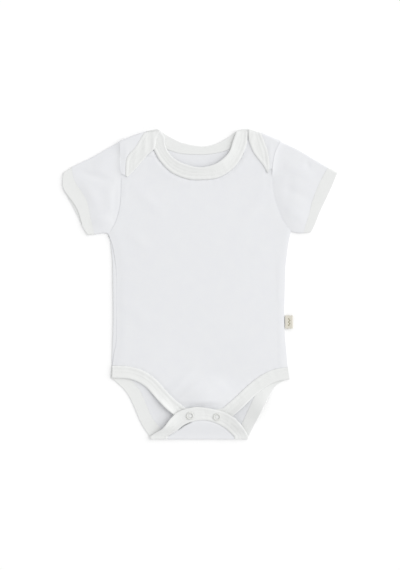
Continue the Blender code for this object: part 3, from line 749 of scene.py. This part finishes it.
# ---------- shoulder laps
# The back's shoulders come over the top edge and lie on the front, so that the neck opens
# wide. Each is a corner of the same jersey with a strip of rib folded over its free edge.
SHOULDER_LINE = [(-101, 178.5), (-88, 184.5), (-75.5, 189), (-63, 192.5), (-53, 194),
                 (48, 193), (59.5, 194), (74.5, 189.5), (87, 185), (100, 178.5)]
LAPS = {
    "left": {
        "seam": [(-70.5, 189.5), (-77, 178.5), (-82.5, 170), (-89.5, 162), (-93, 154),
                 (-94, 136)],
        "edge": [(-50.5, 191.5), (-54.5, 183), (-57, 170), (-65.5, 162), (-79.5, 145.5),
                 (-91, 134)],
        "foot": 136,
        "cut": (0.030, 0.054), "area": 0.00069, "strip": (0.0170, 0.066),
        "creases": [((-59, 192), (-59, 162), 1.7, 0.45), ((-64, 191), (-64, 160), 1.6, -0.4),
                    ((-68.5, 189), (-70, 160), 2.0, 0.35),
                    ((-54.5, 191), (-54, 172), 1.4, -0.5), ((-73, 184), (-76, 156), 1.8, -0.25),
                    ((-79, 172), (-84, 148), 2.2, 0.3), ((-92, 176), (-94, 146), 3.0, 0.3)],
    },
    "right": {
        "seam": [(76, 188.5), (80.5, 176.5), (84.5, 165.5), (86, 154), (86.5, 144)],
        "edge": [(59.8, 193.5), (59.7, 185), (61.7, 175.5), (67, 163.5), (78, 149), (84, 139)],
        "foot": 144,
        "cut": (0.024, 0.045), "area": 0.00047, "strip": (0.0135, 0.058),
        "creases": [((66, 192), (64, 172), 2.0, 0.3), ((70, 190), (70, 168), 1.8, -0.2),
                    ((74, 180), (78, 156), 2.4, 0.25), ((88, 180), (86, 152), 2.6, 0.3)],
    },
}
LAP_GAP = 0.1
# The left lap climbs onto the neckband between these heights. The right one never does.
LAP_ON_BAND = 1.75
LAP_SETTLE_Y = {"left": (154, 166), "right": (200, 210)}
LAP_BAND_WALL = 1.0
LAP_FOOT = 2.0
LAP_ROLL = 2.5
LAP_ROUND = 0.9
# How far round the shoulder fold the cloth turns, as a share of a half turn, and the middle
# and the swing of its height there.
LAP_ROLL_TURN = 0.7
LAP_ROLL_FALL = (0.62, 0.38)
LAP_CELLS = 44
LAP_PANEL_CELLS = 16
LAP_ROLL_STEPS = 6


def lap_under(points, side):
    """A lap's lower face lies on the front, or on the neckband where that runs under it, and
    comes down to the back at the shoulder."""
    line = np.array(SHOULDER_LINE)
    share = step_up(0, LAP_ROLL, np.interp(points[..., 0], line[:, 0], line[:, 1])
                    - points[..., 1])
    band = step_up(*LAP_SETTLE_Y[side], points[..., 1])
    lift = LAP_GAP + PANEL_WALL + band * (LAP_ON_BAND - PANEL_WALL)
    lifted = front_under(points) + lift + np.maximum(relief(points, LAPS[side]["creases"]),
                                                     CREASE_FLOOR)
    return LAP_FOOT + share * (lifted - LAP_FOOT)


lap_lines = {}
for side, lap in LAPS.items():
    seam = smooth_line(lap["seam"], LAP_CELLS)
    edge = smooth_line(lap["edge"], LAP_CELLS)
    inward = SEAM_GAP if side == "left" else -SEAM_GAP
    armhole = armholes[side][armholes[side][:, 1] > lap["foot"]]
    armhole = smooth_line(armhole, LAP_CELLS) + [inward, 0]
    sides = (armhole[::-1], seam[::-1]) if side == "left" else (seam[::-1], armhole[::-1])
    tip = between(sides[0][0], sides[1][0], LAP_PANEL_CELLS)
    top = between(sides[0][-1], sides[1][-1], LAP_PANEL_CELLS) - [0, LAP_ROUND]
    grid = patch(tip, top, *sides)
    height = lap_under(grid, side) + PANEL_WALL
    height += ditch(grid, seam, DITCH_WIDTH, DITCH_DEPTH)
    height += ditch(grid, armholes[side], DITCH_WIDTH, DITCH_DEPTH)
    skin = with_height(grid, height)
    turn = np.linspace(0, np.pi * LAP_ROLL_TURN, LAP_ROLL_STEPS + 1)[1:, None]
    roll_y = skin[-1, :, 1] + LAP_ROUND * np.sin(turn)
    roll_z = skin[-1, :, 2] * (LAP_ROLL_FALL[0] + LAP_ROLL_FALL[1] * np.cos(turn))
    roll_x = np.broadcast_to(skin[-1, :, 0], roll_y.shape)
    skin = np.concatenate([skin, np.stack([roll_x, roll_y, roll_z], -1)])
    panel = add_cloth("lap_cloth_" + side, skin, jersey, PANEL_WALL)
    sewn_in(panel, "jersey", "shoulder_lap_" + side)

    band_seam = moved_right(seam, -inward)
    lap_lines[side] = {"seam": band_seam, "edge": edge}
    rings, cut = rounded_strip(with_height(edge, LAP_BAND_WALL),
                               with_height(band_seam, LAP_BAND_WALL), LAP_BAND_WALL,
                               1 if side == "left" else -1)
    rings[..., 2] += lap_under(rings, side)
    strip = add_binding("lap_binding_" + side, rings, cut, rib)
    sewn_in(strip, "rib", "lap_band_" + side)

# ---------- sleeves
# Each sleeve is a tube of the same jersey, pressed flat: its fold runs along the top and its
# seam along the under arm. Its end is turned in and sewn as a hem.
SLEEVES = {
    "left": {
        "fold": [(-101, 178.5), (-119.5, 168), (-138, 157.5), (-157, 148.5), (-171, 140)],
        "under": [(-115, 62.5), (-120.5, 64), (-132, 62.5), (-140.5, 61.5)],
        "hem": [(-171, 140), (-172, 124), (-167, 111.5), (-157, 93), (-148, 74),
                (-140.5, 61.5)],
        "creases": [((-154, 142), (-108, 128), 5, -0.9), ((-137, 152), (-104, 164), 8, 0.7),
                    ((-124, 132), (-120, 82), 9, -0.7), ((-138, 74), (-110, 80), 5, 0.8),
                    ((-150, 132), (-128, 96), 6, 0.5), ((-106, 126), (-108, 84), 4, -0.4)],
        "peek": 3.0,
        "hem_starts": (0.855, 0.78, 0.71, 0.72, 0.69),
        "cut": (0.235, 0.066), "area": 0.0094, "hem_cut": (0.167, 0.016),
    },
    "right": {
        "fold": [(100, 178.5), (124.5, 166.5), (149.5, 151.5), (171, 139.5)],
        "under": [(113, 66), (124.5, 64), (137.5, 65)],
        "hem": [(171, 139.5), (162, 118), (149.5, 91.5), (141.5, 72), (137.5, 65)],
        "creases": [((136, 158), (134, 144), 3.5, -0.7), ((104, 150), (142, 134), 7, 0.5),
                    ((100, 120), (140, 104), 6, -0.5), ((106, 92), (132, 78), 6, 0.5),
                    ((112, 140), (110, 96), 6, -0.4)],
        "peek": 0.0,
        "hem_starts": (0.836, 0.80, 0.78, 0.77, 0.66),
        "cut": (0.235, 0.066), "area": 0.0102, "hem_cut": (0.165, 0.0145),
    },
}
SLEEVE_FOOT = 2.0
SLEEVE_LOFT = 1.6
SLEEVE_ROUND = 1.2
SLEEVE_CELLS = 34
FINE = 2000
HEM_GAP = 0.001
HEM_WALL = 1.0
HEM_CELLS = 9
# A sleeve rises beside the lap that lies next to it, and its creases start off its folds.
LAP_RISE = 2.0
LAP_RISE_REACH = 4.0
LAP_RISE_Y = (128, 146)
CREASE_MARGIN = 0.12
# Where the under layer of a hem shows, from one fold of the sleeve to the other.
PEEK_RUN = (-0.5, 1.25)


def sleeve_top(points, along, creases, armhole):
    """How high a sleeve's upper layer lies, from its seam, where along is 0, to its end."""
    across = np.linspace(0, 1, points.shape[1])[None]
    gap = near(points, armhole)[0]
    loft = (SLEEVE_LOFT * np.sin(np.pi * across) ** CREASE_TAPER
            * np.sin(np.pi * np.minimum(along, 1)))
    rise = LAP_RISE * np.exp(-gap / LAP_RISE_REACH) * step_up(*LAP_RISE_Y, points[..., 1])
    folds = relief(points, creases) * step_up(0, CREASE_MARGIN, np.minimum(across, 1 - across))
    return SLEEVE_FOOT + np.maximum(loft + folds, CREASE_FLOOR) + rise - DITCH_DEPTH * np.exp(
        -(gap / DITCH_WIDTH) ** 2)


def pressed_tube(upper, top, peek):
    """Rings round a tube that lies flat. upper holds the rows of its upper layer in the
    flat, from the fold to the under arm, and peek is how far that layer's end draws back."""
    count = upper.shape[1]
    turn = np.linspace(0, np.pi, ROUND_STEPS + 1)[1:-1]
    rings = []
    for row, heights, back in zip(upper, top, peek):
        reach = np.append(0, np.cumsum(np.linalg.norm(np.diff(row, axis=0), axis=1)))
        shares = np.linspace(SLEEVE_ROUND, reach[-1] - SLEEVE_ROUND, count)
        flat = np.stack([np.interp(shares, reach, row[:, k]) for k in (0, 1)], 1)
        under_way = (row[-1] - flat[-1]) / SLEEVE_ROUND
        over_way = (row[0] - flat[0]) / SLEEVE_ROUND
        under = flat[-1] + SLEEVE_ROUND * np.sin(turn)[:, None] * under_way
        over = flat[0] + SLEEVE_ROUND * np.sin(turn)[:, None] * over_way
        lower = with_height(flat, 0)
        raised = with_height(flat + back, heights)
        rings.append(np.vstack([
            lower, with_height(under, heights[-1] * (1 - np.cos(turn)) / 2),
            raised[::-1], with_height(over, heights[0] * (1 + np.cos(turn)) / 2), lower[:1]]))
    return np.array(rings)


# The hem is the same jersey turned in double. Its colour is painted a little warmer, as painted
# light: less of the table's cool shade showing through.
hem_jersey_less_painted_shade = knitted("folded_jersey_less_painted_shade", ("#E5E6E5", "#E7E8E7"), 1.0, 0.8, 0.3, 0.04)

hem_lines = {}
for side, sleeve in SLEEVES.items():
    armhole = moved_right(armholes[side], SEAM_GAP if side == "left" else -SEAM_GAP)
    hem = smooth_line(sleeve["hem"], ARMHOLE_CELLS)
    whole = patch(armhole, hem, smooth_line([tuple(armhole[0])] + sleeve["fold"][1:], FINE),
                  smooth_line([tuple(armhole[-1])] + sleeve["under"][1:], FINE))
    rows = list(enumerate(sleeve["hem_starts"]))
    starts = smooth_line(rows, ARMHOLE_CELLS)[:, 1]
    parts = [("sleeve", 0 * starts, starts, SLEEVE_CELLS),
             ("sleeve_hem", starts + HEM_GAP, 1 + 0 * starts, HEM_CELLS)]
    for kind, start, stop, cells in parts:
        ups = start + np.linspace(0, 1, cells + 1)[:, None] * (stop - start)
        grid = whole[np.round(ups * FINE).astype(int), np.arange(ARMHOLE_CELLS + 1)]
        top = sleeve_top(grid, ups / starts, sleeve["creases"], armholes[side])
        wall = PANEL_WALL
        peek = np.zeros(grid.shape)
        if kind == "sleeve_hem":
            wall = HEM_WALL
            top = top + HEM_WALL - PANEL_WALL
            bump = np.sin(np.pi * np.clip(np.linspace(*PEEK_RUN, ARMHOLE_CELLS + 1), 0, 1))
            outward = grid[-1] - grid[0]
            outward /= np.linalg.norm(outward, axis=1, keepdims=True)
            amount = sleeve["peek"] * np.linspace(0, 1, cells + 1)[:, None] ** 2 * bump
            peek = -amount[..., None] * outward[None]
            hem_lines[side] = grid
        rings = pressed_tube(grid, top, peek)
        if side == "right":
            rings = rings[:, ::-1]
        # Hems take the jersey copy whose warmer colour is painted light, for less shade showing
        # through.
        finish = jersey if kind == "sleeve" else hem_jersey_less_painted_shade
        tube = add_cloth(f"{kind}_cloth_{side}", rings, finish, wall)
        sewn_in(tube, "jersey", f"{kind}_{side}")

# ---------- stitching
# Twin rows of white polyester coverstitch hold down every binding and both sleeve hems.
# Each stitch is a short run of thread that sinks a little into the knit at both its ends.
STITCH_PITCH = 2.7
STITCH_LENGTH = 2.1
STITCH_WIDTH = 0.42
STITCH_HEIGHT = 0.3
HEM_ROW_SHARES = (0.12, 0.42)
CAST_FROM = 50
# A stitch isn't set where the face is steeper than this, or outside its row's levels.
STEEPEST = 0.5
TONGUE_LEVELS = (3.5, 20)
FLAT_LEVELS = (-5, 6)
ALL_LEVELS = (-5, 20)

# Spun polyester sewing thread: a clean white with a slight lustre and a fine twist.
thread = new_material("polyester_thread")
thread_place = add_node(thread, "ShaderNodeTexCoord")
thread_twist = add_node(thread, "ShaderNodeTexNoise", {"Scale": 2500.0, "Detail": 2.0},
                        [("Vector", thread_place, "Object")])
thread_bump = add_node(thread, "ShaderNodeBump", {"Strength": 0.3, "Distance": 0.05 * MM},
                       [("Height", thread_twist, "Fac")])
thread_shader = add_node(thread, "ShaderNodeBsdfPrincipled",
                         {"Base Color": linear("#E9EAE9"), "Roughness": 0.6,
                          "Specular IOR Level": 0.4, "Sheen Weight": 0.1},
                         [("Normal", thread_bump, "Normal")])
add_node(thread, "ShaderNodeOutputMaterial", links=[("Surface", thread_shader, "BSDF")])


def row_beside(seam, edge, distance):
    """A line at this distance from a strip's seam, towards its edge."""
    across = edge - seam
    return seam + across * (distance / np.linalg.norm(across, axis=1))[:, None]


def sew_row(bm, piece, line, side, levels):
    """A row of stitches on the piece's upper face, or its lower one where side is -1. Only
    faces between the two levels take a stitch."""
    tree = BVHTree.FromObject(piece, bpy.context.evaluated_depsgraph_get())
    reach = np.append(0, np.cumsum(np.linalg.norm(np.diff(line, axis=0), axis=1)))
    for middle in np.arange(STITCH_PITCH / 2, reach[-1] - STITCH_PITCH / 2, STITCH_PITCH):
        ends = []
        for place in (middle - STITCH_LENGTH / 2, middle + STITCH_LENGTH / 2):
            x, y = (np.interp(place, reach, line[:, k]) for k in (0, 1))
            ends.append(tree.ray_cast(Vector((x, y, side * CAST_FROM)) * MM,
                                      Vector((0, 0, -side))))
        (start, normal, *_), (stop, *_) = ends
        if not start or not stop:
            continue
        if not all(levels[0] < point.z / MM < levels[1] for point in (start, stop)):
            continue
        axis = (stop - start).normalized()
        if abs(axis.z) > STEEPEST:
            continue
        across = normal.cross(axis).normalized()
        upright = axis.cross(across)
        turned = Matrix((across * STITCH_WIDTH / 2 * MM, upright * STITCH_HEIGHT / 2 * MM,
                         axis * STITCH_LENGTH / 2 * MM)).transposed().to_4x4()
        bmesh.ops.create_uvsphere(bm, u_segments=6, v_segments=4, radius=1,
                                  matrix=Matrix.Translation((start + stop) / 2) @ turned)


def sew(name, rows):
    """One piece with all the rows of stitches in a seam."""
    bm = bmesh.new()
    for row in rows:
        sew_row(bm, *row)
    stitches = add_piece(name, bm, thread)
    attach(stitches, "root")


bpy.context.view_layer.update()
sew("front_neck_stitches",
    [(front_neckband, row_beside(neck_seam, front_neck_edge, place), 1, ALL_LEVELS)
     for place in ROW_PLACES])
sew("back_neck_stitches",
    [(back_neckband, row_beside(back_neck_seam, back_neck_edge, place), side, ALL_LEVELS)
     for place in ROW_PLACES for side in (1, -1)])
sew("front_leg_stitches",
    [(front_leg_binding, row_beside(front_leg_lines["seam"], front_leg_lines["edge"], place),
      1, ALL_LEVELS) for place in ROW_PLACES])
leg_count = LEG_CELLS + 1
stretches = [(slice(0, leg_count), FLAT_LEVELS, (1, -1)),
             (slice(-leg_count, None), FLAT_LEVELS, (1, -1)),
             (slice(leg_count + FOLD_STEPS, -leg_count - FOLD_STEPS), TONGUE_LEVELS, (1,))]
sew("back_leg_stitches",
    [(back_leg_binding, row_beside(leg_seam[part, :2], leg_edge[part, :2], place), side, levels)
     for part, levels, sides in stretches for place in ROW_PLACES for side in sides])
for side in LAPS:
    sew("lap_stitches_" + side,
        [(bpy.data.objects["lap_binding_" + side],
          row_beside(lap_lines[side]["seam"], lap_lines[side]["edge"], place), 1, ALL_LEVELS)
         for place in ROW_PLACES])
    grid = hem_lines[side]
    tube = bpy.data.objects["sleeve_hem_cloth_" + side]
    rows = [grid[0] + share * (grid[-1] - grid[0]) for share in HEM_ROW_SHARES]
    sew("hem_stitches_" + side,
        [(tube, row, face, ALL_LEVELS) for row in rows for face in (1, -1)])

# ---------- snaps
# Two ring snaps, pressed through the bindings. Only the caps show: a white enamelled brass
# ring each, with its prongs through the rib and the cloth showing in its middle.
CAP_PROFILE = [(2.9, 0.0), (4.7, 0.0), (4.85, 0.25), (4.6, 0.58), (4.1, 0.74), (3.6, 0.72),
               (3.1, 0.52), (2.85, 0.25)]
CAP_STEPS = 48

# White stove enamel on brass: smooth and half glossy, with a slight unevenness.
enamel = new_material("white_enamel_on_brass")
enamel_place = add_node(enamel, "ShaderNodeTexCoord")
enamel_noise = add_node(enamel, "ShaderNodeTexNoise", {"Scale": 900.0, "Detail": 2.0},
                        [("Vector", enamel_place, "Object")])
enamel_shade = add_node(enamel, "ShaderNodeValToRGB", links=[("Fac", enamel_noise, "Fac")])
enamel_shade.color_ramp.elements[0].color = linear("#D6D7D4")
enamel_shade.color_ramp.elements[1].color = linear("#DFE0DD")
enamel_bump = add_node(enamel, "ShaderNodeBump", {"Strength": 0.1, "Distance": 0.05 * MM},
                       [("Height", enamel_noise, "Fac")])
enamel_shader = add_node(enamel, "ShaderNodeBsdfPrincipled",
                         {"Roughness": 0.35, "Specular IOR Level": 0.5},
                         [("Base Color", enamel_shade, "Color"),
                          ("Normal", enamel_bump, "Normal")])
add_node(enamel, "ShaderNodeOutputMaterial", links=[("Surface", enamel_shader, "BSDF")])

for side, (x, y) in SNAPS.items():
    bm = bmesh.new()
    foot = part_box("snap_cap_" + side)[0][2]
    verts = [bm.verts.new(((x + radius) * MM, y * MM, foot + height * MM))
             for radius, height in CAP_PROFILE]
    edges = [bm.edges.new(pair) for pair in zip(verts, verts[1:] + verts[:1])]
    bmesh.ops.spin(bm, geom=verts + edges, cent=(x * MM, y * MM, 0), axis=(0, 0, 1),
                   angle=2 * math.pi, steps=CAP_STEPS, use_merge=True)
    bmesh.ops.recalc_face_normals(bm, faces=bm.faces)
    cap = add_piece("snap_ring_cap_" + side, bm, enamel)
    sewn_in(cap, "snap", "snap_cap_" + side)
    for hidden in ("snap_socket_", "snap_stud_", "snap_ring_"):
        bpy.data.objects[hidden + side].material_slots[0].material = enamel

# ---------- side label
# A woven cotton tape, folded in half and caught in the right side seam. It is plain but for
# one woven zigzag.
LABEL_X = (105.9, 115.4)
LABEL_Y = (-55.3, -39)
LABEL_LEVELS = (0.5, 2.2)
LABEL_WALL = 0.45
LABEL_BOW = 0.5
LABEL_BOW_START = 2
LABEL_ROWS = 12
LABEL_STEPS = 9
# The zigzag is centred here on the tape, in millimetres, and each of its legs is 2 mm.
MARK_CENTRE = (110.8, -47.2)

# Cotton tape in a plain weave: flat, cream and slightly coarse.
tape = new_material("woven_cotton_tape")
tape_place = add_node(tape, "ShaderNodeUVMap", {"uv_map": "weave"})
tape_weave = add_node(tape, "ShaderNodeTexChecker", {"Scale": 1 / (0.8 * MM)},
                      [("Vector", tape_place, "UV")])
tape_centred = add_node(tape, "ShaderNodeMapping",
                        {"Location": (-MARK_CENTRE[0], -MARK_CENTRE[1], 0),
                         "Scale": (1000, 1000, 1000)},
                        [("Vector", tape_place, "UV")])
tape_split = add_node(tape, "ShaderNodeSeparateXYZ", links=[("Vector", tape_centred, "Vector")])
tape_zigzag = add_node(tape, "ShaderNodeMath", {"operation": "PINGPONG", 1: 2.0},
                       [(0, tape_split, "Y")])
tape_offset = add_node(tape, "ShaderNodeMath", {"operation": "SUBTRACT"},
                       [(0, tape_split, "X"), (1, tape_zigzag, "Value")])
tape_centre = add_node(tape, "ShaderNodeMath", {"operation": "ADD", 1: 1.0},
                       [(0, tape_offset, "Value")])
tape_line = add_node(tape, "ShaderNodeMath", {"operation": "COMPARE", 1: 0.0, 2: 0.75},
                     [(0, tape_centre, "Value")])
tape_extent = add_node(tape, "ShaderNodeMath", {"operation": "COMPARE", 1: 0.0, 2: 5.0},
                       [(0, tape_split, "Y")])
tape_mark = add_node(tape, "ShaderNodeMath", {"operation": "MULTIPLY"},
                     [(0, tape_line, "Value"), (1, tape_extent, "Value")])
tape_shade = add_node(tape, "ShaderNodeValToRGB", links=[("Fac", tape_mark, "Value")])
tape_shade.color_ramp.elements[0].color = linear("#DAD6CA")
tape_shade.color_ramp.elements[1].color = linear("#A5A08A")
tape_bump = add_node(tape, "ShaderNodeBump", {"Strength": 0.4, "Distance": 0.1 * MM},
                     [("Height", tape_weave, "Fac")])
tape_shader = add_node(tape, "ShaderNodeBsdfPrincipled",
                       {"Roughness": 0.8, "Specular IOR Level": 0.25, "Sheen Weight": 0.1},
                       [("Base Color", tape_shade, "Color"), ("Normal", tape_bump, "Normal")])
add_node(tape, "ShaderNodeOutputMaterial", links=[("Surface", tape_shader, "BSDF")])

level, top = LABEL_LEVELS
radius = (top - level) / 2
run = np.linspace(LABEL_X[0], LABEL_X[1] - radius, LABEL_STEPS)
turn = np.linspace(-np.pi / 2, np.pi / 2, LABEL_STEPS)[1:-1]
profile = np.vstack([
    np.stack([run, np.full(len(run), level)], 1),
    np.stack([run[-1] + radius * np.cos(turn), (level + top) / 2 + radius * np.sin(turn)], 1),
    np.stack([run[::-1], np.full(len(run), top)], 1)])
skin = np.array([[(x, y, z) for x, z in profile]
                 for y in np.linspace(LABEL_Y[1], LABEL_Y[0], LABEL_ROWS)])
skin[..., 2] += LABEL_BOW * step_up(LABEL_X[0] + LABEL_BOW_START, LABEL_X[1],
                                    skin[..., 0]) ** 2
label = add_cloth("folded_side_label", skin, tape, LABEL_WALL)
sewn_in(label, "tape", "side_label")

bpy.context.view_layer.update()
